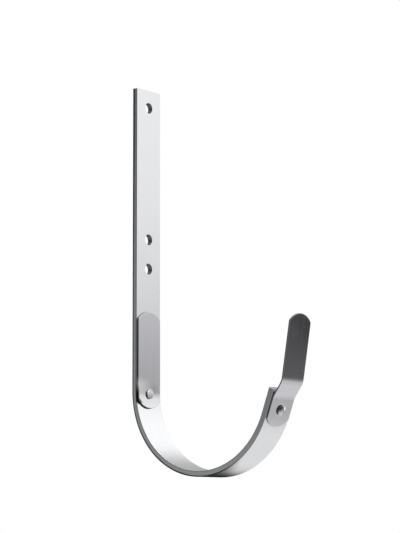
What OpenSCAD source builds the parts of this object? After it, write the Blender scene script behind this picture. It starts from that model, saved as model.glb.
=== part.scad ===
// Half-round gutter bracket: one bent strip of flat steel, screwed flat to a fascia board,
// with two thin sheet tongues that are folded over the gutter's edges by hand to hold it.
// +X points away from the board, +Z is up and the bracket is symmetric about Y = 0.
// The origin lies on the strip's back face, midway between the two lower screw holes.

/* [Strip] */
// Width of the flat steel strip
strip_w = 25; // [20:0.5:40]
// Thickness of the strip
strip_t = 4; // [3:0.5:8]
// Inside diameter of the bowl that the gutter lies in
bowl_d = 113; // [90:1:180]
// Height of the strip's top above the lower pair of screw holes
arm_above = 119; // [40:1:240]
// Height of the lower pair of screw holes above the bowl's centre
arm_below = 97; // [90:1:200]
// Angle by which the strip's straight front end leans outwards
lip_lean = 20.5; // [5:0.5:35]
// Length of the strip's straight front end
lip_len = 18; // [14:0.5:30]

/* [Screw holes] */
// Diameter of the screw holes
hole_d = 7.5; // [4:0.5:10]
// Distance between the two lower screw holes
pair_spacing = 21; // [14:0.5:40]
// Distance of the top screw hole from the strip's top edge
top_hole_inset = 13; // [8:0.5:20]
// Bevel round each rim of a screw hole
hole_bevel = 0.25; // [0.1:0.05:0.5]

/* [Tongues] */
// Thickness of the tongues' sheet
tongue_t = 1; // [0.8:0.1:2]
// Distance of a tongue's sides from the strip's edges
tongue_inset = 1; // [0.5:0.1:3]
// How far the curve across a tongue's end rises past its straight sides
end_rise = 6; // [4:0.1:8]
// Radius of the corners between that curve and the sides
corner_r = 2; // [0.5:0.1:3]

/* [Rear tongue] */
// Height of the rear tongue's upper end above the bowl's centre
rear_up = 56; // [40:1:70]
// Length of the rear tongue's foot, which follows the bowl below its centre
rear_foot = 12; // [10:0.5:20]
// Distance of the rear rivet from the end of that foot
rear_rivet_in = 10; // [6:0.5:10]

/* [Front tongue] */
// Length of the front tongue below the start of the strip's straight front end
front_foot = 7.5; // [6.5:0.5:12]
// Distance of the front rivet above the start of the straight front end
front_rivet_up = 4; // [4:0.5:7]
// Length that lies on the straight front end, up to the first bend
front_seat = 11.2; // [11:0.2:20]
// Angle of the first bend, outwards over the gutter's bead
joggle_turn = 16.3; // [5:0.1:40]
// Length of the flat between the two bends
joggle_len = 7.4; // [1:0.2:20]
// Angle of the second bend, back towards upright
return_turn = 27.2; // [5:0.1:45]
// Length of the flat above the second bend, to the top of its rounded end
front_up = 42.5; // [25:0.5:60]
// Inside radius of both bends
bend_r = 11.4; // [2:0.2:16]

/* [Rivets] */
// Diameter of the rivets' shanks
rivet_d = 5; // [3:0.5:6]
// Radial clearance of a shank in its hole
rivet_gap = 0.05; // [0.02:0.01:0.2]
// Diameter of the raised heads, and of the countersunk ends
head_d = 7.5; // [7:0.5:10]
// Height of the raised heads
head_h = 1.8; // [1.2:0.1:2.5]
// Height of a raised head's straight side, below its dome
head_side = 1; // [0.4:0.1:1.1]
// Depth of the countersunk ends
sink_depth = 1.3; // [0.8:0.1:2]

/* [Hidden] */
$fn = 144;
bowl_r = bowl_d / 2;
outer_r = bowl_r + strip_t;
tongue_w = strip_w - 2 * tongue_inset;
bend_outer_r = bend_r + tongue_t;
// What a rivet holds together
grip = strip_t + tongue_t;
// Height at which the strip's two nodes meet: half way between the rear tongue's upper end
// and the lowest screw hole
arm_foot = (rear_up - arm_below - (pair_spacing + hole_d) / 2) / 2;
// How far a cut reaches past the faces that it goes through
through = 1;
// A flat that carries on from a curve lies this far inside it, so that the two faces cross
// cleanly and don't just touch
graze = 0.0002;
// How far a curve runs on into the flat that follows it
run_on = 0.5;
// Turns round the bowl, below its centre, of the rear tongue's end and of its rivet
foot_turn = arc_turn(rear_foot);
rear_rivet_turn = arc_turn(rear_foot - rear_rivet_in);

// Angle taken up by a length along the bowl's inside
function arc_turn(length) = length / bowl_r * 180 / PI;

// Places the children in the bowl's frame, its centre on the origin
module at_bowl() {
    translate([outer_r, 0, -arm_below]) children();
}

// Places the children where the strip's straight front end starts, +Z along it,
// with X = 0 on the strip's outer face
module at_lip() {
    at_bowl() rotate([0, lip_lean, 0]) translate([outer_r, 0, 0]) children();
}

// Places the children at the end of a tongue's bend that starts at X = 0, Z = 0: a positive
// turn leans them towards +X, and a negative one towards -X
module after_bend(turn) {
    axis_x = turn > 0 ? bend_outer_r : -bend_r;
    translate([axis_x, 0, 0]) rotate([0, turn, 0]) translate([-axis_x, 0, 0]) children();
}

// Places the children where the flats above the front tongue's two bends start
module at_joggle() {
    at_lip() translate([0, 0, front_seat]) after_bend(joggle_turn) children();
}
module at_front_up() {
    at_joggle() translate([0, 0, joggle_len]) after_bend(-return_turn) children();
}

// Places the children on the axis of a rivet: X = 0 on the strip's face at the countersunk
// end, +X towards the raised head
module at_rear_rivet() {
    at_bowl() rotate([0, -rear_rivet_turn, 0]) translate([-outer_r, 0, 0]) children();
}
module at_front_rivet() {
    at_lip() translate([-strip_t, 0, front_rivet_up]) children();
}

// Turns a side view, drawn in X and Z, into a solid of one width about Y = 0
module across(width) {
    rotate([90, 0, 0]) linear_extrude(width, center = true) children();
}

// ---- strip ----

// Side view of the strip in the bowl's frame: a solid hook out to the strip's outer face,
// less everything inside its inner face
module strip_profile() {
    arm_top = arm_above + arm_below;
    difference() {
        union() {
            translate([-outer_r, 0]) square([outer_r, arm_top]);
            difference() {
                circle(outer_r);
                square(2 * outer_r);
                rotate(-lip_lean) translate([0, run_on]) square(2 * outer_r);
            }
            rotate(-lip_lean) square([outer_r - graze, lip_len]);
        }
        circle(bowl_r);
        translate([-bowl_r, 0]) square([2 * bowl_r, arm_top + through]);
        rotate(-lip_lean) translate([-bowl_r, 0]) square([2 * bowl_r - graze, lip_len + through]);
    }
}

// Screw hole through the strip at one height, both its rims bevelled
module screw_hole(height) {
    r = hole_d / 2;
    translate([0, 0, height]) rotate([0, 90, 0]) {
        translate([0, 0, -through]) cylinder(r = r, h = strip_t + 2 * through);
        translate([0, 0, -hole_bevel]) cylinder(r1 = r + 2 * hole_bevel, r2 = r, h = 2 * hole_bevel);
        translate([0, 0, strip_t - hole_bevel]) cylinder(r1 = r, r2 = r + 2 * hole_bevel, h = 2 * hole_bevel);
    }
}

// Everything between two heights, as wide as the strip's nodes need
module level(low, high) {
    translate([-outer_r, -strip_w, low]) cube([4 * outer_r, 2 * strip_w, high - low]);
}

// The strip is one piece of steel. It is kept as two nodes that meet face to face across the
// arm: the flat part with the screw holes, and the part that goes round the gutter
module strip_arm() {
    color("gainsboro") difference() {
        intersection() {
            at_bowl() across(strip_w) strip_profile();
            level(arm_foot, arm_above + through);
        }
        screw_hole(-pair_spacing / 2);
        screw_hole(pair_spacing / 2);
        screw_hole(arm_above - top_hole_inset);
    }
}

module strip_bowl() {
    color("gainsboro") difference() {
        at_bowl() across(strip_w) strip_profile();
        level(arm_foot, arm_above + through);
        at_rear_rivet() rivet_hole();
        at_front_rivet() rivet_hole();
    }
}

// ---- tongues ----

// Side view of a bend with a flat after it, for a sheet that rises from the line between
// X = 0 and its thickness: a solid out to the bend's outside, less what is inside the bend.
// A positive turn leans the flat towards +X, and a negative one towards -X
module bend_profile(turn, length) {
    reach = 2 * bend_outer_r;
    if (turn < 0) translate([tongue_t, 0]) mirror([1, 0]) bend_profile(-turn, length);
    else translate([bend_outer_r, 0]) difference() {
        union() {
            intersection() {
                circle(bend_outer_r);
                translate([-reach, 0]) square([reach, reach]);
                rotate(-turn) translate([-reach, run_on - reach]) square([reach, reach]);
            }
            rotate(-turn) translate([graze - bend_outer_r, 0]) square([bend_outer_r, length]);
        }
        circle(bend_r);
        rotate(-turn) translate([graze - bend_r, 0]) square([reach, length + through]);
    }
}

// What is cut off a tongue's square end to round it: what lies outside a wide curve across
// the end, and outside a small corner curve on each side that touches it and the tongue's edge.
// The sheet lies between X = 0 and the given depth
module end_waste(length, depth = tongue_t) {
    half = tongue_w / 2;
    corner_x = half - corner_r;
    corner_y = length - end_rise;
    end_r = (end_rise * end_rise + half * half - 2 * half * corner_r) / (2 * (end_rise - corner_r));
    slope = (end_r - end_rise) / corner_x;
    translate([-through, 0, 0]) rotate([90, 0, 90]) linear_extrude(depth + 2 * through) difference() {
        translate([-tongue_w, corner_y]) square([2 * tongue_w, end_rise + through]);
        for (side = [-1, 1])
            translate([side * (corner_x + graze), corner_y]) circle(corner_r);
        translate([0, length - end_r]) intersection() {
            circle(end_r);
            polygon([[0, 0], [tongue_w, slope * tongue_w], [-tongue_w, slope * tongue_w]]);
        }
    }
}

// Flat length of a tongue with a rounded end, rising from Z = 0
module end_blank(length, depth = tongue_t) {
    difference() {
        translate([0, -tongue_w / 2, 0]) cube([depth, tongue_w, length]);
        end_waste(length, depth);
    }
}

// Lies on the strip's arm above the bowl's centre, with a foot that follows the bowl
module rear_tongue() {
    foot_drop = bowl_r * sin(foot_turn);
    color("silver") difference() {
        at_bowl() {
            translate([-bowl_r, 0, 0]) end_blank(rear_up);
            intersection() {
                across(strip_w) difference() {
                    circle(bowl_r);
                    circle(bowl_r - tongue_t);
                }
                translate([-outer_r, 0, 0]) mirror([0, 0, 1]) end_blank(foot_drop, outer_r);
            }
        }
        at_rear_rivet() rivet_hole();
    }
}

// Lies on the front of the strip's straight end, then steps out over the gutter's bead
module front_tongue() {
    color("darkgray") difference() {
        at_joggle() across(tongue_w) {
            mirror([0, 1]) bend_profile(joggle_turn, front_seat + front_foot);
            square([tongue_t, joggle_len]);
            translate([0, joggle_len]) bend_profile(-return_turn, front_up);
        }
        at_lip() mirror([0, 0, 1]) end_waste(front_foot);
        at_front_up() end_waste(front_up);
        at_front_rivet() rivet_hole();
    }
}

// ---- rivets ----

// Hole for a rivet through the strip and a tongue, countersunk in the strip's face
module rivet_hole() {
    rotate([0, 90, 0]) {
        translate([0, 0, -through]) cylinder(d = rivet_d + 2 * rivet_gap, h = grip + 2 * through);
        rivet_sink();
    }
}

// Cone of a countersunk end, which runs on past the strip's face at the same slope
module rivet_sink() {
    flare = (head_d - rivet_d) / 2 / sink_depth;
    translate([0, 0, -through])
        cylinder(r1 = head_d / 2 + flare * through, r2 = rivet_d / 2, h = sink_depth + through);
}

// Shank and countersunk end, which is left long at the strip's face
module rivet_shank() {
    rotate([0, 90, 0]) {
        cylinder(d = rivet_d, h = grip + head_side / 2);
        rivet_sink();
    }
}

// Raised head: a short straight side under a low dome
module rivet_head() {
    dome_h = head_h - head_side;
    dome_r = (pow(head_d / 2, 2) + dome_h * dome_h) / (2 * dome_h);
    translate([grip, 0, 0]) rotate([0, 90, 0]) intersection() {
        cylinder(d = head_d, h = head_h);
        translate([0, 0, head_h - dome_r]) sphere(dome_r);
    }
}

// Its head is seated on the tongue's curved face, and its end is flush with the strip's back
module rear_rivet() {
    color("lightgray") {
        intersection() {
            at_rear_rivet() rivet_head();
            at_bowl() across(strip_w) circle(bowl_r - tongue_t);
        }
        intersection() {
            at_rear_rivet() rivet_shank();
            at_bowl() across(strip_w) circle(outer_r);
        }
    }
}

// Its end is flush with the bowl's inside, where the gutter lies
module front_rivet() {
    color("lightgray") at_front_rivet() {
        rivet_head();
        intersection() {
            rivet_shank();
            translate([0, -head_d, -head_d]) cube([grip + head_h, 2 * head_d, 2 * head_d]);
        }
    }
}

strip_arm();
strip_bowl();
rear_tongue();
front_tongue();
rear_rivet();
front_rivet();
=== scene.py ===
# %% [markdown]
# # A half-round gutter bracket
# The bracket is one strip of flat steel with screw holes, bent round into a bowl for the
# gutter, and two thin sheet tongues that are riveted on and folded over the gutter's edges.
# The imported model is loaded first, as a fixed frame in metres: +X points away from the
# board, +Z is up, and Y = 0 is the middle of the strip.

# %% Load the frame
from math import atan2, cos, hypot, pi, radians, sin

import bmesh
import bpy
from mathutils import Matrix, Vector


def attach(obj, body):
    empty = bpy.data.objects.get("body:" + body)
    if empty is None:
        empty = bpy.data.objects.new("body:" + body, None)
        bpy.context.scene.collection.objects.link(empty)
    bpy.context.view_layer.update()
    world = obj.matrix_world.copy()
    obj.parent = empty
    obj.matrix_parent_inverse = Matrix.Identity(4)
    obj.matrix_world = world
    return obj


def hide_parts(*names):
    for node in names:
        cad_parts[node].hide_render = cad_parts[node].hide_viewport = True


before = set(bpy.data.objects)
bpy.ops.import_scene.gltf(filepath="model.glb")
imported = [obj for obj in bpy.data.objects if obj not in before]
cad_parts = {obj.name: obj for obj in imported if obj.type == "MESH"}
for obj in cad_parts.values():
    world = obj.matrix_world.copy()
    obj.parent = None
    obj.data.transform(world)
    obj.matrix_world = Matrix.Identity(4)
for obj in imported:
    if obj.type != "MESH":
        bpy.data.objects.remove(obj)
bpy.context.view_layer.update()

print("nodes:", sorted(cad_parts))

# %% [markdown]
# ## The camera
# A long lens, well back from the bracket and a little below it, looks slightly up at its
# near side. The camera's three directions are worked out from the two angles that it looks
# along and its small roll, so each number can be changed by itself.

# %% Camera
AZIMUTH, ELEVATION, ROLL = radians(39.4767), radians(-8.2272), radians(-0.1505)
CAMERA_PLACE = Vector((0.81355, -0.92564, -0.18628))
LENS, SENSOR = 118.55, 36.0


def camera_axes(azimuth, elevation, roll):
    back = Vector((sin(azimuth) * cos(elevation), -cos(azimuth) * cos(elevation), sin(elevation)))
    right = Vector((cos(azimuth), sin(azimuth), 0))
    up = back.cross(right)
    return cos(roll) * right + sin(roll) * up, cos(roll) * up - sin(roll) * right, back


def add_object(name, data):
    made = bpy.data.objects.new(name, data)
    bpy.context.scene.collection.objects.link(made)
    return made


camera_data = bpy.data.cameras.new("camera")
camera_data.sensor_fit = "VERTICAL"
camera_data.sensor_height = SENSOR
camera_data.lens = LENS
camera = add_object("camera", camera_data)
axes = camera_axes(AZIMUTH, ELEVATION, ROLL)
camera.matrix_world = Matrix.Translation(CAMERA_PLACE) @ Matrix(axes).transposed().to_4x4()
bpy.context.scene.camera = camera
print("camera at", tuple(CAMERA_PLACE))

# %% [markdown]
# ## Sizes
# The sizes are the model's own, in metres. The strip is measured along its inner face: down
# the arm, round the bowl and up the straight lip. Each tongue is measured along the face
# that lies on the strip.

# %% Sizes
MM = 0.001
STRIP_W, STRIP_T = 25 * MM, 4 * MM
BOWL_R = 56.5 * MM
ARM_ABOVE, ARM_BELOW = 119 * MM, 97 * MM
LIP_LEAN, LIP_LEN = radians(20.5), 18 * MM
HOLE_R = 3.75 * MM
HOLE_HEIGHTS = [106 * MM, 10.5 * MM, -10.5 * MM]

SHEET_T, SHEET_HALF = 1 * MM, 11.5 * MM
END_RISE, CORNER_R = 6 * MM, 2 * MM
REAR_UP, REAR_FOOT = 56 * MM, 12 * MM
REAR_RIVET_IN = 10 * MM
FRONT_FOOT, FRONT_SEAT, FRONT_RIVET_UP = 7.5 * MM, 11.2 * MM, 4 * MM
JOGGLE_TURN, JOGGLE_LEN = radians(16.3), 7.4 * MM
RETURN_TURN, FRONT_UP = radians(27.2), 42.5 * MM
BEND_R = 11.4 * MM
RIVET_R, SINK_R = 2.5 * MM, 3.75 * MM

OUTER_R = BOWL_R + STRIP_T
ARM_LEN = ARM_ABOVE + ARM_BELOW
BOWL_TURN = pi - LIP_LEAN
BOWL_LEN = BOWL_TURN * BOWL_R
LIP_START = ARM_LEN + BOWL_LEN
LIP_END = LIP_START + LIP_LEN
BOWL_CENTRE = Vector((OUTER_R, 0, -ARM_BELOW))
REAR_TOE = ARM_LEN + REAR_FOOT
print("strip's length along its inner face:", round(LIP_END / MM, 1), "mm")

# %% [markdown]
# ## Bending flat blanks
# The real parts are punched flat and then bent, and they are made the same way here. A blank
# lies in its own flat space: X runs along it, Y across it, and Z through its thickness. A
# path says how it is bent: each stretch has a length along the face at Z = 0 and the angle
# that it turns by, towards +Z. `place` walks along that path and says where a point ends up.
# Every point keeps its flat place as an attribute, so a pattern such as rolling lines can
# follow the metal round its bends.


# %% Walking along a path
class Path:
    def __init__(self, start, ahead, side, stretches):
        self.start, self.ahead, self.side = Vector(start), Vector(ahead), Vector(side)
        self.stretches = stretches

    def place(self, run, across, depth):
        here, ahead, side = self.start, self.ahead, self.side
        for number, (length, turn) in enumerate(self.stretches):
            last = number == len(self.stretches) - 1
            step = run if last or run < length else length
            if turn:
                radius = length / turn
                angle = step / radius
                centre = here + radius * side
                ahead, side = (cos(angle) * ahead + sin(angle) * side,
                               cos(angle) * side - sin(angle) * ahead)
                here = centre - radius * side
            else:
                here = here + step * ahead
            run -= step
            if run <= 0:
                break
        return here + depth * side + Vector((0, across, 0))

    def cuts(self, spacing):
        """Where a blank needs a line across it so that it can bend."""
        places, run = [], 0
        for length, turn in self.stretches:
            if turn:
                count = max(2, round(abs(turn) / spacing))
                places += [run + length * k / count for k in range(count + 1)]
            run += length
        return places


strip_path = Path((STRIP_T, 0, ARM_ABOVE), (0, 0, -1), (-1, 0, 0),
                  [(ARM_LEN, 0), (BOWL_LEN, -BOWL_TURN), (LIP_LEN, 0)])
print("strip's end is at", [round(c / MM, 1) for c in strip_path.place(LIP_END, 0, 0)], "mm")

# %% [markdown]
# ## Outlines
# A blank starts as an outline. The strip's is a rectangle whose corners are just broken. A
# tongue's ends are a wide curve with a small corner curve on each side, drawn the way a
# compass would: one corner point is spun about each centre in turn, and the track that it
# leaves is the edge. Spinning puts points exactly on the curves, which a bevel of the
# corners couldn't do for the wide one.

# %% Outlines
CORNER_STEPS, END_STEPS = 8, 28


def strip_outline(bm, start, end, half, corner):
    size = Matrix.Diagonal((end - start, 2 * half, 1, 1))
    middle = Matrix.Translation(((start + end) / 2, 0, 0))
    made = bmesh.ops.create_grid(bm, x_segments=1, y_segments=1, size=0.5, matrix=middle @ size)
    bmesh.ops.bevel(bm, geom=made["verts"], offset=corner, segments=4, profile=0.5,
                    affect="VERTICES", material=-1)


def spin_on(bm, point, centre, angle, steps):
    made = bmesh.ops.spin(bm, geom=[point], cent=(*centre, 0), axis=(0, 0, 1), dvec=(0, 0, 0),
                          angle=angle, steps=steps, use_merge=False, use_duplicate=False)
    return next(e for e in made["geom_last"] if isinstance(e, bmesh.types.BMVert))


def tongue_outline(bm, start, end):
    reach = SHEET_HALF - CORNER_R
    end_r = ((END_RISE ** 2 + SHEET_HALF ** 2 - 2 * SHEET_HALF * CORNER_R)
             / (2 * (END_RISE - CORNER_R)))
    half_arc = atan2(reach, end_r - END_RISE)
    point = first = bmesh.ops.create_vert(bm, co=(end - END_RISE, SHEET_HALF, 0))["vert"][0]
    for toe, way in ((end, 1), (start, -1)):
        if way < 0:
            turned = (start + END_RISE, -SHEET_HALF, 0)
            corner_point = bmesh.ops.create_vert(bm, co=turned)["vert"][0]
            bmesh.ops.contextual_create(bm, geom=[point, corner_point])
            point = corner_point
        corner_turn = half_arc - pi / 2
        point = spin_on(bm, point, (toe - way * END_RISE, way * reach), corner_turn, CORNER_STEPS)
        point = spin_on(bm, point, (toe - way * end_r, 0), -2 * half_arc, END_STEPS)
        point = spin_on(bm, point, (toe - way * END_RISE, -way * reach), corner_turn, CORNER_STEPS)
    bmesh.ops.contextual_create(bm, geom=[point, first])
    bmesh.ops.contextual_create(bm, geom=bm.edges[:])


print("a tongue's end is drawn with", 2 * CORNER_STEPS + END_STEPS, "steps")

# %% [markdown]
# ## Punching and cutting across
# The outline's face gets a narrow band inside its edge, and each hole gets one round it, so
# that the edges can be rounded cleanly. What lies between is filled with triangles, which
# does no harm because it is flat. Then the blank is cut across wherever it will bend. A hole
# is given by its place along the blank, its radius and the width of its band.

# %% Punching and cutting across
HOLE_SIDES = 48
CUT_SNAP = 0.15 * MM
SAME_PLACE = 0.01 * MM


def hole_ring(bm, run, radius):
    made = bmesh.ops.create_circle(bm, segments=HOLE_SIDES, radius=radius,
                                   matrix=Matrix.Translation((run, 0, 0)))
    return list({e for v in made["verts"] for e in v.link_edges})


def punch(bm, inner_edges, holes):
    rims = []
    for run, radius, band in holes:
        inner_ring = hole_ring(bm, run, radius)
        outer_ring = hole_ring(bm, run, radius + band)
        bmesh.ops.bridge_loops(bm, edges=inner_ring + outer_ring)
        rims += outer_ring
    bmesh.ops.triangle_fill(bm, use_beauty=True, use_dissolve=False,
                            edges=inner_edges + rims, normal=(0, 0, 1))


def band_inside(bm, width):
    plate = bm.faces[:]
    bmesh.ops.inset_region(bm, faces=plate, thickness=width, depth=0, use_boundary=True,
                           use_even_offset=True)
    inner_edges = list({e for f in plate for e in f.edges})
    bmesh.ops.delete(bm, geom=plate, context="FACES_ONLY")
    return inner_edges


def cut_across(bm, runs):
    for run in runs:
        bmesh.ops.bisect_plane(bm, geom=bm.verts[:] + bm.edges[:] + bm.faces[:],
                               dist=CUT_SNAP, plane_co=(run, 0, 0), plane_no=(1, 0, 0))


print("a hole has", HOLE_SIDES, "sides")

# %% [markdown]
# ## Countersinking and rounding the rims
# A countersink only spreads one rim of its hole: the rim itself goes out to the mouth, and
# the ring round it moves out less the farther it lies, so nothing crosses. All rims are then
# rounded together. The attribute `rim` is 1 along each edge and 0 inside the band, for wear
# and shearing marks, and `punched` is 1 where the edge belongs to a hole.

# %% Countersinking and rounding the rims
SINK_CLEAR = 1.4
RIM_SEGMENTS = 3


def countersink(points, sink, depth, rounding):
    run, radius, mouth, ring = sink
    middle = Vector((run, 0, depth))
    clear = mouth + SINK_CLEAR * rounding
    for v in points:
        away = v.co - middle
        if away.length < radius + SAME_PLACE:
            v.co = middle + away * mouth / radius
        elif away.length < ring:
            wider = clear + (away.length - radius) * (ring - clear) / (ring - radius)
            v.co = middle + away * wider / away.length


def steepness(face):
    return abs(face.normal.z)


def round_rims(bm, holes, rounding, rim_layer, punched_layer):
    rim_edges = [e for e in bm.edges if len(e.link_faces) == 2
                 and abs(steepness(e.link_faces[0]) - steepness(e.link_faces[1])) > 0.5]
    for v in {v for e in rim_edges for v in e.verts}:
        v[rim_layer] = 1
        v[punched_layer] = any(abs(hypot(v.co.x - run, v.co.y) - radius) < SAME_PLACE
                               for run, radius, band in holes)
    bmesh.ops.bevel(bm, geom=rim_edges, offset=rounding, segments=RIM_SEGMENTS, profile=0.5,
                    affect="EDGES", clamp_overlap=False, material=-1)


print("a rim is rounded with", RIM_SEGMENTS, "segments")

# %% [markdown]
# ## From blank to bent sheet
# The pieces of work above follow each other as they do in the shop: outline, band, holes,
# cuts, thickness, countersinks, rounded rims and, last, the bending. The shading is smooth
# with weighted normals, so the wide flat faces stay flat up to their rounded edges.

# %% From blank to bent sheet
def finish_mesh(name, bm):
    for face in bm.faces:
        face.smooth = True
    mesh = bpy.data.meshes.new(name)
    bm.to_mesh(mesh)
    open_edges = sum(not e.is_manifold for e in bm.edges)
    bm.free()
    piece = add_object(name, mesh)
    weighted = piece.modifiers.new("flat faces stay flat", "WEIGHTED_NORMAL")
    weighted.weight = 100
    print(name, len(mesh.polygons), "faces,", open_edges, "open edges")
    return piece


def make_blank(name, outline, path, depth_from, thickness, holes, band, rounding, bend_step,
               sinks=()):
    bm = bmesh.new()
    rim_layer = bm.verts.layers.float.new("rim")
    punched_layer = bm.verts.layers.float.new("punched")
    flat_layer = bm.verts.layers.float_vector.new("flat")
    outline(bm)
    punch(bm, band_inside(bm, band), holes)
    cut_across(bm, path.cuts(bend_step))
    grown = bmesh.ops.extrude_face_region(bm, geom=bm.faces[:])
    raised = [v for v in grown["geom"] if isinstance(v, bmesh.types.BMVert)]
    bmesh.ops.translate(bm, verts=raised, vec=(0, 0, thickness))
    for sink in sinks:
        countersink(raised, sink, thickness, rounding)
    bmesh.ops.recalc_face_normals(bm, faces=bm.faces[:])
    round_rims(bm, holes, rounding, rim_layer, punched_layer)
    for v in bm.verts:
        v[flat_layer] = v.co
        v.co = path.place(v.co.x, v.co.y, v.co.z + depth_from)
    bmesh.ops.recalc_face_normals(bm, faces=bm.faces[:])
    return finish_mesh(name, bm)


# %% [markdown]
# ## The strip
# The strip is flat steel cut to length, with three screw holes and two rivet holes. The
# rivet holes are countersunk from the strip's outer side, where the rivets are set flush.
# It could be a bent curve with a profile, but a blank keeps the holes true: they are punched
# flat, and the two by the rivets bend with the metal.

# %% Strip
rear_rivet_run = REAR_TOE - REAR_RIVET_IN
front_rivet_run = LIP_START + FRONT_RIVET_UP
SINK_RING = RIVET_R + 2 * MM
SCREW_HOLE_BAND, STRIP_BAND = 0.6 * MM, 0.5 * MM
STRIP_ROUNDING, STRIP_CORNER = 0.16 * MM, 0.6 * MM
STRIP_BEND_STEP = radians(1.5)
rivet_runs = (rear_rivet_run, front_rivet_run)
strip = make_blank(
    "bracket_strip", lambda bm: strip_outline(bm, 0, LIP_END, STRIP_W / 2, STRIP_CORNER),
    strip_path, 0, STRIP_T,
    holes=[(ARM_ABOVE - height, HOLE_R, SCREW_HOLE_BAND) for height in HOLE_HEIGHTS]
    + [(run, RIVET_R, SINK_RING - RIVET_R) for run in rivet_runs],
    band=STRIP_BAND, rounding=STRIP_ROUNDING, bend_step=STRIP_BEND_STEP,
    sinks=[(run, RIVET_R, SINK_R, SINK_RING) for run in rivet_runs])

# %% [markdown]
# ## The rear tongue
# This is a thin sheet that lies on the arm's front face and follows the bowl with its foot.
# On a roof its free upper end is bent down over the gutter's back edge. It follows the
# strip's own path, one sheet thickness inside it, so it can't drift off the metal below.

# %% Rear tongue
SHEET_BAND, SHEET_ROUNDING = 0.6 * MM, 0.18 * MM
rear_tongue = make_blank(
    "rear_tongue_sheet", lambda bm: tongue_outline(bm, ARM_LEN - REAR_UP, REAR_TOE),
    strip_path, -SHEET_T, SHEET_T, holes=[(rear_rivet_run, RIVET_R, SHEET_BAND)],
    band=SHEET_BAND, rounding=SHEET_ROUNDING, bend_step=STRIP_BEND_STEP)

# %% [markdown]
# ## The front tongue
# The front tongue sits on the outside of the lip. Two opposite bends step it outwards over
# the rolled bead on the gutter's front rim, and its long free end is bent back over that
# bead by hand. It has a path of its own, which starts at its foot below the lip's rivet.

# %% Front tongue
lip_ahead = Vector((sin(LIP_LEAN), 0, cos(LIP_LEAN)))
lip_side = Vector((cos(LIP_LEAN), 0, -sin(LIP_LEAN)))
front_path = Path(BOWL_CENTRE + OUTER_R * lip_side - FRONT_FOOT * lip_ahead, lip_ahead, lip_side,
                  [(FRONT_FOOT + FRONT_SEAT, 0),
                   ((BEND_R + SHEET_T) * JOGGLE_TURN, JOGGLE_TURN),
                   (JOGGLE_LEN, 0),
                   (BEND_R * RETURN_TURN, -RETURN_TURN),
                   (FRONT_UP, 0)])
FRONT_LEN = sum(length for length, turn in front_path.stretches)
FRONT_HOLE = FRONT_FOOT + FRONT_RIVET_UP
front_tongue = make_blank(
    "front_tongue_sheet", lambda bm: tongue_outline(bm, 0, FRONT_LEN),
    front_path, 0, SHEET_T, holes=[(FRONT_HOLE, RIVET_R, SHEET_BAND)],
    band=SHEET_BAND, rounding=SHEET_ROUNDING, bend_step=radians(2))
print("front tongue's length:", round(FRONT_LEN / MM, 1), "mm")

# %% [markdown]
# ## Rivets
# Each rivet is turned in one piece: a countersunk end that is set flush with the strip, a
# shank through both sheets, and a low domed head on the tongue. Half of its section is drawn
# from the axis outwards and spun round it, and the head's rim is rounded afterwards. The
# set end lies a hair below the strip's face, with a small gap round it, because a rivet
# never quite fills its hole.

# %% Rivets
GRIP = STRIP_T + SHEET_T
RING_GAP, SHANK_GAP, END_SUNK = 0.12 * MM, 0.03 * MM, 0.12 * MM
HEAD_CLEAR = 0.1 * MM
DOME_STEPS, ROUND_STEPS = 10, 64
MERGE = 1e-6


def half_section(bm, head_r, head_side, head_h):
    corners = [(0, END_SUNK), (SINK_R - RING_GAP, END_SUNK), (RIVET_R - SHANK_GAP, GRIP),
               (head_r, GRIP), (head_r, GRIP + head_side)]
    points = [bmesh.ops.create_vert(bm, co=(r, 0, h))["vert"][0] for r, h in corners]
    for a, b in zip(points, points[1:]):
        bmesh.ops.contextual_create(bm, geom=[a, b])
    dome_h = head_h - head_side
    dome_r = (head_r ** 2 + dome_h ** 2) / (2 * dome_h)
    bmesh.ops.spin(bm, geom=[points[-1]], cent=(0, 0, GRIP + head_h - dome_r), axis=(0, -1, 0),
                   dvec=(0, 0, 0), angle=atan2(head_r, dome_r - dome_h), steps=DOME_STEPS,
                   use_merge=False, use_duplicate=False)


def head_corner(bm):
    return [e for e in bm.edges if e.calc_face_angle(0) > radians(40)
            and abs(e.verts[0].co.z - e.verts[1].co.z) < 0.1 * MERGE
            and e.verts[0].co.z > GRIP + HEAD_CLEAR]


def make_rivet(name, run, end_depth, head_r, head_side, head_h, rounding):
    bm = bmesh.new()
    wall_layer = bm.verts.layers.float.new("wall")
    half_section(bm, head_r, head_side, head_h)
    bmesh.ops.spin(bm, geom=bm.verts[:] + bm.edges[:], cent=(0, 0, 0), axis=(0, 0, 1),
                   dvec=(0, 0, 0), angle=2 * pi, steps=ROUND_STEPS, use_merge=True,
                   use_duplicate=False)
    bmesh.ops.remove_doubles(bm, verts=bm.verts, dist=MERGE)
    bmesh.ops.recalc_face_normals(bm, faces=bm.faces[:])
    bmesh.ops.bevel(bm, geom=head_corner(bm), offset=rounding, segments=5, profile=0.5,
                    affect="EDGES", clamp_overlap=True, material=-1)
    for v in bm.verts:
        v[wall_layer] = GRIP - HEAD_CLEAR < v.co.z < GRIP + head_side - rounding + MERGE
    end = strip_path.place(run, 0, end_depth)
    axis = (strip_path.place(run, 0, STRIP_T / 2) - end).normalized()
    turn = Vector((0, 0, 1)).rotation_difference(axis).to_matrix().to_4x4()
    bmesh.ops.transform(bm, matrix=Matrix.Translation(end) @ turn, verts=bm.verts)
    return finish_mesh(name, bm)


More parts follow.
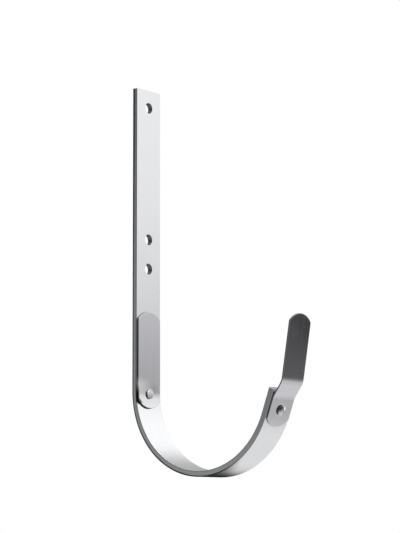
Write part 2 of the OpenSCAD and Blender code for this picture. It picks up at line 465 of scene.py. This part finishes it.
rear_rivet = make_rivet("rear_rivet_turned", rear_rivet_run, STRIP_T, head_r=3.3 * MM,
                        head_side=1.2 * MM, head_h=1.35 * MM, rounding=0.25 * MM)
front_rivet = make_rivet("front_rivet_turned", front_rivet_run, 0, head_r=3.5 * MM,
                         head_side=1.15 * MM, head_h=1.7 * MM, rounding=0.3 * MM)

# %% [markdown]
# ## What each piece stands for
# Nothing on the bracket moves, so every piece rides on the one fixed body. Each takes the
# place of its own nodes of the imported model. The strip is one piece of metal that the packed
# model keeps in two, so it takes the place of both.

# %% What each piece stands for
for piece, slot, nodes in ((strip, "strip", ("strip_arm", "strip_bowl")),
                           (rear_tongue, "tongue", ("rear_tongue",)),
                           (front_tongue, "tongue", ("front_tongue",)),
                           (rear_rivet, "rivet", ("rear_rivet",)),
                           (front_rivet, "rivet", ("front_rivet",))):
    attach(piece, "root")
    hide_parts(*nodes)
    print(piece.name, "replaces", nodes)

# %% [markdown]
# ## Helpers for materials
# A material is a small net of nodes, and most of its nodes are plain sums. These helpers
# make one node each and return its output, so that a finish can be read like a formula.
# Effects that several metals share are node groups, built once and given values by each
# metal. They read each point's flat place or its own place, and never where the camera is.

# %% Helpers for materials
VECTOR, NUMBER = "NodeSocketVector", "NodeSocketFloat"


def new_group(name, inputs, outputs):
    tree = bpy.data.node_groups.new(name, "ShaderNodeTree")
    for label, kind, value in inputs:
        socket = tree.interface.new_socket(name=label, in_out="INPUT", socket_type=kind)
        if value is not None:
            socket.default_value = value
    for label in outputs:
        tree.interface.new_socket(name=label, in_out="OUTPUT", socket_type=NUMBER)
    return tree, tree.nodes.new("NodeGroupInput").outputs, tree.nodes.new("NodeGroupOutput")


def give_out(tree, group_output, *values):
    for number, value in enumerate(values):
        tree.links.new(value, group_output.inputs[number])


def feed(tree, socket, value):
    if isinstance(value, bpy.types.NodeSocket):
        tree.links.new(value, socket)
    else:
        socket.default_value = value


def add(tree, kind, settings=None, **sockets):
    """Adds a node. A keyword such as i0 is an input's number, any other is its name."""
    node = tree.nodes.new(kind)
    for label, value in (settings or {}).items():
        setattr(node, label, value)
    for label, value in sockets.items():
        key = int(label[1:]) if label[0] == "i" and label[1:].isdigit() else label.replace("_", " ")
        feed(tree, node.inputs[key], value)
    return node


print("sockets of groups:", VECTOR, NUMBER)

# %% [markdown]
# ## Sums, blends and patterns
# These are the words that the finishes are written in. `remap` is a smooth step between two
# values, which is how most marks are placed: on from here, full by there. A product of steps
# bounds a mark on all its sides. `end_rise` is the shape of a tongue's end, so that a mark
# can follow it.


# %% Sums, blends and patterns
def maths(tree, operation, a, b=0.0):
    return add(tree, "ShaderNodeMath", {"operation": operation}, i0=a, i1=b).outputs[0]


def plus(tree, a, b):
    return maths(tree, "ADD", a, b)


def minus(tree, a, b):
    return maths(tree, "SUBTRACT", a, b)


def times(tree, first, *others):
    for other in others:
        first = maths(tree, "MULTIPLY", first, other)
    return first


def remap(tree, value, low, high, to_low=0.0, to_high=1.0):
    return add(tree, "ShaderNodeMapRange", {"interpolation_type": "SMOOTHSTEP"}, Value=value,
               From_Min=low, From_Max=high, To_Min=to_low, To_Max=to_high).outputs[0]


def number_mix(tree, factor, a, b):
    return add(tree, "ShaderNodeMix", {"data_type": "FLOAT"}, i0=factor, i2=a, i3=b).outputs[0]


def colour_mix(tree, factor, a, b):
    return add(tree, "ShaderNodeMix", {"data_type": "RGBA"}, i0=factor, i6=a, i7=b).outputs[2]


def noise(tree, vector, scale, detail=3.0):
    return add(tree, "ShaderNodeTexNoise", None, Vector=vector, Scale=scale, Detail=detail,
               Roughness=0.55).outputs["Fac"]


def stretched(tree, vector, factors):
    return add(tree, "ShaderNodeMapping", None, Vector=vector, Scale=factors).outputs[0]


def parts_of(tree, vector):
    return add(tree, "ShaderNodeSeparateXYZ", None, Vector=vector).outputs


def distance(tree, vector, point):
    return add(tree, "ShaderNodeVectorMath", {"operation": "DISTANCE"}, i0=vector,
               i1=tuple(point)).outputs["Value"]


def end_rise(tree, across):
    """How far a tongue's rounded end lies back at this place across it."""
    wide = maths(tree, "DIVIDE", across, SHEET_HALF)
    return times(tree, wide, wide, END_RISE)


print("a tongue's end lies back", END_RISE / MM, "mm at its sides")

# %% [markdown]
# ## Rolling lines
# Steel that was rolled has faint streaks along its length. They could be a picture, but
# noise that is stretched far along the sheet looks the same and needs no file. It reads the
# flat place, so the streaks follow the bends.

# %% Rolling lines
lines_group, inputs, group_output = new_group("rolling lines", [("Flat", VECTOR, None)], ["Lines"])
fine = noise(lines_group, stretched(lines_group, inputs["Flat"], (9, 1500, 1500)), 1.0, 2.0)
broad = noise(lines_group, stretched(lines_group, inputs["Flat"], (5, 320, 320)), 1.0)
streaks = plus(lines_group, times(lines_group, fine, 0.5), times(lines_group, broad, 0.5))
give_out(lines_group, group_output, remap(lines_group, streaks, 0.35, 0.65))
print("group:", lines_group.name)

# %% [markdown]
# ## Sheared edge
# A shear or a punch leaves an edge in two bands: one that the blade burnished, and a rough,
# darker one where the metal broke. The line between them wanders a little. The group finds
# the edge by its `rim`, and the depth in the sheet says which band a point is in. `Drift`
# shifts the line little by little towards the blank's start, where the shear cut less
# cleanly, and the broken band can fade out towards the blank's end.

# %% Sheared edge
shear_group, inputs, group_output = new_group(
    "sheared edge",
    [("Flat", VECTOR, None), ("Rim", NUMBER, 0.0), ("Break From", NUMBER, 0.003),
     ("Drift", NUMBER, 0.0), ("Fade From", NUMBER, 1.0), ("Fade To", NUMBER, 2.0)],
    ["Side", "Broken", "Scratches"])
LINE_WANDER, HALF_BLUR = 0.6 * MM, 0.15 * MM
RIM_ON_SIDE = (0.8, 0.97)
DRIFT_ALONG = (160 * MM, 0.0)
flat = inputs["Flat"]
run, across, depth = parts_of(shear_group, flat)
on_side = remap(shear_group, inputs["Rim"], *RIM_ON_SIDE)
wander = noise(shear_group, stretched(shear_group, flat, (260, 260, 40)), 1.0)
wander = times(shear_group, minus(shear_group, wander, 0.5), LINE_WANDER)
drifted = times(shear_group, inputs["Drift"], remap(shear_group, run, *DRIFT_ALONG))
break_line = minus(shear_group, plus(shear_group, inputs["Break From"], wander), drifted)
broken = times(shear_group,
               remap(shear_group, minus(shear_group, depth, break_line), -HALF_BLUR, HALF_BLUR),
               on_side,
               remap(shear_group, run, inputs["Fade From"], inputs["Fade To"], 1.0, 0.0))
scratches = noise(shear_group, stretched(shear_group, flat, (2600, 2600, 120)), 1.0)
give_out(shear_group, group_output, on_side, broken, scratches)
print("group:", shear_group.name)

# %% [markdown]
# ## Seam shade
# Two sheets that lie on each other leave a thin crack, and bright metal beside it shows the
# dark crack instead of the room. A renderer only finds this where a real gap is, so it is
# painted along the tongue's outline, on the face or edge that it lies on. `past` is how far
# a point lies outside that outline. The shade is wider round the tongue's end, and it is
# strongest towards the side at -Y. It can't come from the sheets themselves, because they
# really touch.

# %% Seam shade
seam_group, inputs, group_output = new_group(
    "seam shade",
    [("Flat", VECTOR, None)] + [(label, NUMBER, 0.0) for label in
                                ("Start", "End", "Face", "Reach", "Narrow", "Wide")],
    ["Shade"])
END_ZONE, START_ZONE = (22 * MM, 6 * MM), (9 * MM, 2 * MM)
TO_NEAR_SIDE, TO_MARGIN = (2 * MM, -10.5 * MM), (-10.2 * MM, -11.7 * MM)
DARK_SIDE = (4 * MM, -2 * MM)
run, across, depth = parts_of(seam_group, inputs["Flat"])
rise = end_rise(seam_group, across)
past_end = plus(seam_group, minus(seam_group, run, inputs["End"]), rise)
past_start = plus(seam_group, minus(seam_group, inputs["Start"], run), rise)
past_side = minus(seam_group, maths(seam_group, "ABSOLUTE", across), SHEET_HALF)
past = maths(seam_group, "MAXIMUM", maths(seam_group, "MAXIMUM", past_end, past_start), past_side)
at_end = remap(seam_group, minus(seam_group, inputs["End"], run), *END_ZONE)
at_start = remap(seam_group, minus(seam_group, run, inputs["Start"]), *START_ZONE, 1.0, 0.35)
width = times(seam_group,
              number_mix(seam_group, at_end, inputs["Narrow"], inputs["Wide"]),
              remap(seam_group, across, *TO_NEAR_SIDE, 0.1, 1.0),
              remap(seam_group, across, *TO_MARGIN, 1.0, 1.5))
off_face = maths(seam_group, "ABSOLUTE", minus(seam_group, depth, inputs["Face"]))
shade = times(seam_group,
              remap(seam_group, maths(seam_group, "DIVIDE", past, width), 1.0, 0.7),
              remap(seam_group, maths(seam_group, "DIVIDE", off_face, inputs["Reach"]), 1.0, 0.6),
              remap(seam_group, across, *DARK_SIDE),
              remap(seam_group, at_end, 0.0, 1.0, 0.65, 1.0), at_start)
give_out(seam_group, group_output, shade)
print("group:", seam_group.name)

# %% [markdown]
# ## Handling
# Metal that has been stacked and touched is never quite even. Soft clouds change its colour
# and roughness a little, and long low waves bend its reflections.

# %% Handling
hand_group, inputs, group_output = new_group("handling", [("Place", VECTOR, None)],
                                             ["Clouds", "Waves"])
clouds = remap(hand_group, noise(hand_group, inputs["Place"], 45.0, 4.0), 0.3, 0.7)
waves = noise(hand_group, inputs["Place"], 22.0, 1.0)
give_out(hand_group, group_output, clouds, waves)
print("group:", hand_group.name)

# %% [markdown]
# ## Metals
# All three finishes are bright metal. What tells them apart is how sharp their reflections
# are and how their edges look: the strip is satin with lighter sheared sides, the tongues
# are smoother sheet with nearly black sides, and the rivets are evenly satin. One function
# makes the strip's and the tongues' metal, and a finish of their own adds what is local.

# %% Sheet metal
DEEP_SHADE = (0.02, 0.02, 0.022, 1)
SCRATCH_HEIGHT = 0.01 * MM
NO_FADE = (1.0, 2.0)


def new_metal(name):
    material = bpy.data.materials.new(name)
    material.use_nodes = True
    shader = material.node_tree.nodes["Principled BSDF"]
    shader.inputs["Metallic"].default_value = 1.0
    return material, material.node_tree, shader


def attribute(tree, name, output="Fac"):
    return add(tree, "ShaderNodeAttribute", {"attribute_name": name}).outputs[output]


def group(tree, node_tree, **values):
    return add(tree, "ShaderNodeGroup", {"node_tree": node_tree}, **values).outputs


def relief(tree, shader, height):
    bump = add(tree, "ShaderNodeBump", None, Height=height, Strength=1.0, Distance=1.0)
    tree.links.new(bump.outputs[0], shader.inputs["Normal"])


def sheet_metal(name, light, dark, side_colour, broken_colour, rough, side_rough, break_from,
                line_height, wave_height, finish, drift=0.0, fade=NO_FADE, punched_colour=None):
    material, tree, shader = new_metal(name)
    flat = attribute(tree, "flat", "Vector")
    place = add(tree, "ShaderNodeTexCoord").outputs["Object"]
    lines = group(tree, lines_group, Flat=flat)["Lines"]
    hand = group(tree, hand_group, Place=place)
    shear = group(tree, shear_group, Flat=flat, Rim=attribute(tree, "rim"), Break_From=break_from,
                  Drift=drift, Fade_From=fade[0], Fade_To=fade[1])
    on_side, broken = shear["Side"], shear["Broken"]

    tone = plus(tree, times(tree, lines, 0.7), times(tree, hand["Clouds"], 0.3))
    side = colour_mix(tree, broken, side_colour, broken_colour)
    if punched_colour:
        side = colour_mix(tree, attribute(tree, "punched"), side, punched_colour)
    colour = colour_mix(tree, on_side, colour_mix(tree, tone, dark, light), side)
    tree.links.new(finish(tree, flat, on_side, colour), shader.inputs["Base Color"])

    uneven = plus(tree, times(tree, lines, 0.05), times(tree, hand["Clouds"], 0.05))
    side_roughness = plus(tree, times(tree, broken, 0.15), side_rough)
    tree.links.new(number_mix(tree, on_side, plus(tree, uneven, rough), side_roughness),
                   shader.inputs["Roughness"])

    scratched = times(tree, minus(tree, shear["Scratches"], 0.5), on_side, SCRATCH_HEIGHT)
    smooth = plus(tree, times(tree, lines, line_height), times(tree, hand["Waves"], wave_height))
    relief(tree, shader, plus(tree, smooth, scratched))
    return material


print("deep shade:", DEEP_SHADE[:3])

# %% [markdown]
# ## The strip's finish
# The strip's sheared sides are a little darker along both rims and dimmer towards the lip.
# The underside of the bowl gets a painted reflection of the dark gap below the wall, as a
# slanted patch. Both seams with the tongues get painted shade. All of it is laid over the
# metal's own colour by place, so it stays on the metal when the bracket is turned.

# %% Strip's finish
DARKER_RIMS_FROM_MIDDLE = (0.9 * MM, 1.8 * MM)
REFLECTION_SLANT = 1.13
REFLECTION_ON, REFLECTION_OFF = (255 * MM, 278 * MM), (307 * MM, 330 * MM)
REFLECTION_DEPTH = (STRIP_T - 1.1 * MM, STRIP_T - 0.4 * MM)


def strip_finish(tree, flat, on_side, colour):
    run, across, depth = parts_of(tree, flat)
    # Both rims of the sheared sides are darker, and the sides dimmer towards the lip.
    from_middle = maths(tree, "ABSOLUTE", minus(tree, depth, STRIP_T / 2))
    darker_rims = remap(tree, from_middle, *DARKER_RIMS_FROM_MIDDLE, 0, 0.32)
    dimmer = remap(tree, run, LIP_START - 30 * MM, LIP_START, 0, 0.2)
    sides = times(tree, maths(tree, "MAXIMUM", darker_rims, dimmer), on_side)
    colour = colour_mix(tree, sides, colour, DEEP_SHADE)

    # Painted reflection of the dark gap below the wall: a slanted dark patch on the bowl's
    # underside.
    slant = plus(tree, run, times(tree, across, REFLECTION_SLANT))
    painted_underside_reflection = times(tree, remap(tree, slant, *REFLECTION_ON), remap(tree, slant, *REFLECTION_OFF, 0.97, 0.0),
                  remap(tree, depth, *REFLECTION_DEPTH))
    colour = colour_mix(tree, painted_underside_reflection, colour, DEEP_SHADE)

    # Painted shade along both seams where the tongues lie on the strip.
    rear_seam_shade = group(tree, seam_group, Flat=flat, Start=ARM_LEN - REAR_UP, End=REAR_TOE,
                      Face=0, Reach=1.1 * MM, Narrow=1.5 * MM, Wide=2.6 * MM)["Shade"]
    colour = colour_mix(tree, rear_seam_shade, colour, DEEP_SHADE)
    front_seam_shade = group(tree, seam_group, Flat=flat, Start=LIP_START - FRONT_FOOT,
                       End=LIP_START + 2 * LIP_LEN, Face=STRIP_T, Reach=0.35 * MM,
                       Narrow=0.7 * MM, Wide=0.7 * MM)["Shade"]
    strength = remap(tree, run, LIP_END - 7 * MM, LIP_END - 2 * MM, 0.85, 0.0)
    return colour_mix(tree, times(tree, front_seam_shade, strength), colour, DEEP_SHADE)


strip_metal = sheet_metal(
    "strip steel", light=(0.88, 0.885, 0.895, 1), dark=(0.84, 0.845, 0.86, 1),
    side_colour=(0.66, 0.69, 0.71, 1), broken_colour=(0.11, 0.115, 0.12, 1),
    punched_colour=(0.14, 0.145, 0.15, 1), rough=0.15, side_rough=0.28, break_from=2.95 * MM,
    drift=0.9 * MM, fade=(ARM_LEN + 0.45 * BOWL_LEN, ARM_LEN + 0.6 * BOWL_LEN),
    line_height=0.0012 * MM, wave_height=0.04 * MM, finish=strip_finish)
print("finish:", strip_metal.name)

# %% [markdown]
# ## The tongues' finish
# The tongues are smoother sheet. Both share one metal, so each mark is placed by how far
# along the blank it lies: the rear tongue's lie past the arm's foot, where the front tongue
# doesn't reach. Its foot is painted lighter where it turns towards the light, with a painted
# sheen along the bend, a darker patch above the rivet, and painted shade along the near edge
# and corner. The front tongue's foot is painted lighter too. Each head has a brighter ring
# round it.

# %% Tongues' finish
LIT_FOOT_COLOUR, PAINTED_SHEEN_COLOUR = (0.79, 0.79, 0.80, 1), (0.98, 0.98, 0.985, 1)
DARK_PATCH_COLOUR, RING_COLOUR = (0.25, 0.25, 0.27, 1), (0.85, 0.85, 0.86, 1)
DARK_PATCH_PLACE, DARK_PATCH_REACH = (ARM_LEN - 1 * MM, 5 * MM, 0), (6.5 * MM, 1 * MM)
RING_R, RING_WIDTH = SINK_R + 0.3 * MM, (0.8 * MM, 0.2 * MM)


def rear_foot_light_and_shade(tree, run, across, colour):
    # Painted light: the foot is lighter where it turns towards the light.
    sooner = remap(tree, across, 2 * MM, -11 * MM, 1 * MM, 3.4 * MM)
    bright = remap(tree, plus(tree, run, sooner), ARM_LEN + 0.5 * MM, ARM_LEN + 6.5 * MM)
    colour = colour_mix(tree, bright, colour, LIT_FOOT_COLOUR)
    # Painted sheen along the bend.
    painted_sheen = times(tree, remap(tree, across, 4 * MM, -11 * MM),
                  remap(tree, run, ARM_LEN - 11 * MM, ARM_LEN - 3.5 * MM),
                  remap(tree, run, ARM_LEN + 2 * MM, ARM_LEN - 1 * MM, 0.0, 0.9))
    colour = colour_mix(tree, painted_sheen, colour, PAINTED_SHEEN_COLOUR)
    # Painted shade along the near edge and round the near corner.
    near_edge_shade = times(tree, remap(tree, across, 0.9 * MM - SHEET_HALF, 0.3 * MM - SHEET_HALF),
                      remap(tree, run, ARM_LEN - 6 * MM, ARM_LEN + 2 * MM, 0.0, 0.9))
    from_toe = minus(tree, minus(tree, REAR_TOE, end_rise(tree, across)), run)
    near_corner_shade = times(tree, remap(tree, from_toe, 2 * MM, 0.8 * MM, 0.0, 0.9),
                        remap(tree, across, -7 * MM, -10 * MM))
    return colour_mix(tree, maths(tree, "MAXIMUM", near_edge_shade, near_corner_shade), colour, DEEP_SHADE)


def tongue_finish(tree, flat, _on_side, colour):
    run, across = parts_of(tree, flat)[:2]
    colour = rear_foot_light_and_shade(tree, run, across, colour)
    # Painted light: the front tongue's foot is lighter.
    front_foot_light = remap(tree, run, 9 * MM, 1 * MM, 0, 0.6)
    colour = colour_mix(tree, front_foot_light, colour, LIT_FOOT_COLOUR)
    # A darker patch above the rear rivet.
    dark_patch = remap(tree, distance(tree, flat, DARK_PATCH_PLACE), *DARK_PATCH_REACH, 0, 0.22)
    colour = colour_mix(tree, dark_patch, colour, DARK_PATCH_COLOUR)
    # A brighter ring round each rivet head.
    for hole in (rear_rivet_run, FRONT_HOLE):
        from_ring = minus(tree, distance(tree, flat, (hole, 0, SHEET_T / 2)), RING_R)
        bright_ring = remap(tree, maths(tree, "ABSOLUTE", from_ring), *RING_WIDTH, 0, 0.6)
        colour = colour_mix(tree, bright_ring, colour, RING_COLOUR)
    return colour


tongue_metal = sheet_metal(
    "tongue sheet", light=(0.665, 0.665, 0.695, 1), dark=(0.635, 0.635, 0.665, 1),
    side_colour=(0.20, 0.205, 0.21, 1), broken_colour=(0.08, 0.085, 0.09, 1),
    rough=0.07, side_rough=0.4, break_from=0.6 * MM, line_height=0.0001 * MM,
    wave_height=0.004 * MM, finish=tongue_finish)
print("finish:", tongue_metal.name)

# %% [markdown]
# ## The rivets' finish
# A rivet's head is satin on top, from the setting tool, and has painted shade round its wall,
# which only sees the tongue beside it. The front one also has a painted dark reflection on its
# top towards -Y.

# %% Rivets' finish
TOP_DARK, TOP_LIGHT = (0.66, 0.66, 0.67, 1), (0.73, 0.73, 0.74, 1)
DARK_REFLECTION_COLOUR, WALL_SHADE_COLOUR = (0.035, 0.035, 0.04, 1), (0.06, 0.06, 0.065, 1)
GRAIN_HEIGHT = 0.01 * MM
DARK_REFLECTION_REACH = (4.6 * MM, 1.2 * MM)
dark_reflection_place = strip_path.place(front_rivet_run + 1.9 * MM, -3.6 * MM, GRIP + 1.4 * MM)

rivet_metal, tree, shader = new_metal("rivet steel")
place = add(tree, "ShaderNodeTexCoord").outputs["Object"]
clouds = group(tree, hand_group, Place=place)["Clouds"]
grain = noise(tree, place, 2200.0, 2.0)
# Painted dark reflection on the front head's top towards -Y.
painted_dark_reflection = remap(tree, distance(tree, place, dark_reflection_place), *DARK_REFLECTION_REACH, 0, 0.96)
top = colour_mix(tree, painted_dark_reflection, colour_mix(tree, clouds, TOP_DARK, TOP_LIGHT), DARK_REFLECTION_COLOUR)
# Painted shade round the head's wall.
wall_shade = times(tree, attribute(tree, "wall"), 0.95)
tree.links.new(colour_mix(tree, wall_shade, top, WALL_SHADE_COLOUR), shader.inputs["Base Color"])
tree.links.new(plus(tree, times(tree, grain, 0.08), 0.20), shader.inputs["Roughness"])
relief(tree, shader, times(tree, grain, GRAIN_HEIGHT))

for piece, metal in ((strip, strip_metal), (rear_tongue, tongue_metal),
                     (front_tongue, tongue_metal), (rear_rivet, rivet_metal),
                     (front_rivet, rivet_metal)):
    piece.data.materials.clear()
    piece.data.materials.append(metal)
    print(piece.name, "is", metal.name)

# %% [markdown]
# ## The studio
# Bright metal shows its surroundings, so the studio matters as much as the finish. It has a
# white wall behind the bracket, a dark gap below the wall, a pale table nearer by, and a
# dim room on the camera's side. The surroundings are painted by direction on the world; the
# camera itself sees plain white. A curve says how bright one side of the room is from
# straight down, or left, at -1 to straight up, or right, at 1.

# %% Studio
world = bpy.data.worlds.new("studio")
world.use_nodes = True
bpy.context.scene.world = world
tree = world.node_tree
tree.nodes.clear()
sideways, backwards, upwards = parts_of(tree, add(tree, "ShaderNodeTexCoord").outputs["Generated"])


def light_curve(value, stops):
    """A curve from (place from -1 to 1, brightness) pairs."""
    half = add(tree, "ShaderNodeMath", {"operation": "MULTIPLY_ADD"}, i0=value, i1=0.5, i2=0.5)
    node = add(tree, "ShaderNodeValToRGB", None, Fac=half.outputs[0])
    ramp = node.color_ramp
    while len(ramp.elements) > 1:
        ramp.elements.remove(ramp.elements[0])
    ramp.elements[0].position = (stops[0][0] + 1) / 2
    for at, _level in stops[1:]:
        ramp.elements.new((at + 1) / 2)
    for element, (at, level) in zip(ramp.elements, stops):
        element.color = (level, level, level, 1)
    return node.outputs[0]


wall_light = light_curve(upwards, [
    (-1, 0.80), (-0.60, 0.80), (-0.55, 0.86), (-0.50, 0.80), (-0.45, 0.74), (-0.36, 0.70),
    (-0.32, 0.52), (-0.25, 0.31), (-0.18, 0.20), (-0.12, 0.15), (-0.10, 0.115), (-0.085, 0.028),
    (-0.05, 0.03), (-0.02, 0.14), (0.0, 0.28), (0.05, 0.50), (0.078, 0.555), (0.10, 0.65),
    (0.115, 0.79), (0.125, 0.815), (0.135, 0.815), (0.145, 0.85), (0.155, 0.90), (0.17, 0.935),
    (0.20, 0.955), (0.24, 0.955), (0.31, 1.05), (0.47, 1.09), (0.56, 1.12), (1, 1.12)])
high_across = light_curve(sideways, [
    (-1, 0.38), (-0.56, 0.43), (-0.40, 0.49), (-0.28, 0.62), (-0.16, 0.80), (-0.03, 0.96),
    (0.10, 1), (1, 1)])
low_across = light_curve(sideways, [
    (-1, 0.85), (-0.72, 0.80), (-0.67, 0.45), (-0.63, 0.05), (-0.60, 0.06), (-0.57, 0.20),
    (-0.52, 0.45), (-0.48, 0.74), (-0.43, 0.93), (-0.36, 0.97), (-0.20, 1), (1, 1)])
near_light = light_curve(upwards, [
    (-1, 0.75), (-0.4, 0.62), (-0.2, 0.50), (-0.05, 0.38), (0.0, 0.34), (0.04, 0.32),
    (0.09, 0.27), (0.12, 0.25), (0.15, 0.235), (0.17, 0.20), (0.19, 0.15), (0.21, 0.11),
    (0.24, 0.08), (0.32, 0.10), (0.45, 0.40), (0.7, 0.9), (1, 1.1)])
front_light = light_curve(upwards, [
    (-1, 0.75), (-0.3, 0.68), (-0.12, 0.50), (-0.02, 0.46), (0.08, 0.70), (0.25, 0.90),
    (0.6, 1.1), (1, 1.12)])
print("curves:", sum(node.type == "VALTORGB" for node in tree.nodes))

# %% [markdown]
# ## Putting the studio together
# The wall is dimmed from side to side, and a bright card stands low on its right. The side
# of the room behind the camera goes from the dim near side to the brighter front. The two
# halves meet a little behind the bracket. A ray straight from the camera gets plain white.

# %% Putting the studio together
CARD_LIGHT = 2.0
CARD_LEFT, CARD_RIGHT = (-0.05, 0.08), (0.46, 0.34)
CARD_BOTTOM, CARD_TOP = (-0.22, -0.12), (0.08, 0.02)


def vector_maths(operation, a, b):
    return add(tree, "ShaderNodeVectorMath", {"operation": operation}, i0=a, i1=b).outputs[0]


dimmed = colour_mix(tree, remap(tree, upwards, -0.2, 0.2), low_across, high_across)
card = times(tree, remap(tree, sideways, *CARD_LEFT), remap(tree, sideways, *CARD_RIGHT),
             remap(tree, upwards, *CARD_BOTTOM), remap(tree, upwards, *CARD_TOP, 0.0, CARD_LIGHT))
wall = vector_maths("ADD", vector_maths("MULTIPLY", wall_light, dimmed), card)
room = colour_mix(tree, remap(tree, sideways, -0.2, 0.5), near_light, front_light)
around = colour_mix(tree, remap(tree, backwards, 0.0, 0.5), room, wall)
seen = add(tree, "ShaderNodeLightPath").outputs["Is Camera Ray"]
background = add(tree, "ShaderNodeBackground", None, Strength=1.0,
                 Color=maths(tree, "MAXIMUM", around, seen))
tree.links.new(background.outputs[0], add(tree, "ShaderNodeOutputWorld").inputs[0])
print("world:", world.name, len(tree.nodes), "nodes")

# %% [markdown]
# ## The floor
# The pale floor lies well below the bracket and takes its soft shadow. Towards its rim it
# glows as white as the surroundings, so it has no visible edge from any side. It is kept
# out of reflections, which the world already gives a table.

# %% Floor
FLOOR_Z, FLOOR_R, FLOOR_SIDES = -0.24, 4.0, 96
FLOOR_DARK, FLOOR_LIGHT = (0.84, 0.84, 0.84, 1), (0.88, 0.88, 0.88, 1)
GLOW_FROM, GLOW_BY = 0.25, 1.3
bm = bmesh.new()
bmesh.ops.create_circle(bm, cap_ends=True, segments=FLOOR_SIDES, radius=FLOOR_R,
                        matrix=Matrix.Translation((0, 0, FLOOR_Z)))
floor_mesh = bpy.data.meshes.new("floor")
bm.to_mesh(floor_mesh)
bm.free()
floor = add_object("floor", floor_mesh)
floor.visible_glossy = False

floor_paint = bpy.data.materials.new("floor paint")
floor_paint.use_nodes = True
tree = floor_paint.node_tree
paint = tree.nodes["Principled BSDF"]
paint.inputs["Roughness"].default_value = 0.9
place = add(tree, "ShaderNodeTexCoord").outputs["Object"]
mottle = noise(tree, place, 3.0, 4.0)
tree.links.new(colour_mix(tree, mottle, FLOOR_DARK, FLOOR_LIGHT), paint.inputs["Base Color"])
away = add(tree, "ShaderNodeVectorMath", {"operation": "LENGTH"}, i0=place).outputs["Value"]
glow = add(tree, "ShaderNodeEmission", None, Color=(1, 1, 1, 1), Strength=1.0)
blend = add(tree, "ShaderNodeMixShader", None, i0=remap(tree, away, GLOW_FROM, GLOW_BY),
            i1=paint.outputs[0], i2=glow.outputs[0])
tree.links.new(blend.outputs[0], tree.nodes["Material Output"].inputs[0])
floor.data.materials.append(floor_paint)
print("floor at", FLOOR_Z, "m")

# %% [markdown]
# ## The lamp
# One wide, round softbox hangs above and in front. The world gives most of the light, and
# the softbox gives the floor its shadow and the top edges a little more.

# %% Lamp
LAMP_PLACE, LAMP_AIM = (0.5, -0.4, 1.7), Vector((0.06, 0, -0.05))
lamp_data = bpy.data.lights.new("overhead softbox", "AREA")
lamp_data.shape = "DISK"
lamp_data.size = 1.6
lamp_data.energy = 22
lamp = add_object("overhead softbox", lamp_data)
lamp.location = LAMP_PLACE
lamp.rotation_euler = (LAMP_AIM - lamp.location).to_track_quat("-Z", "Y").to_euler()
bpy.context.scene.view_settings.view_transform = "Standard"
print("softbox of", lamp_data.energy, "W")
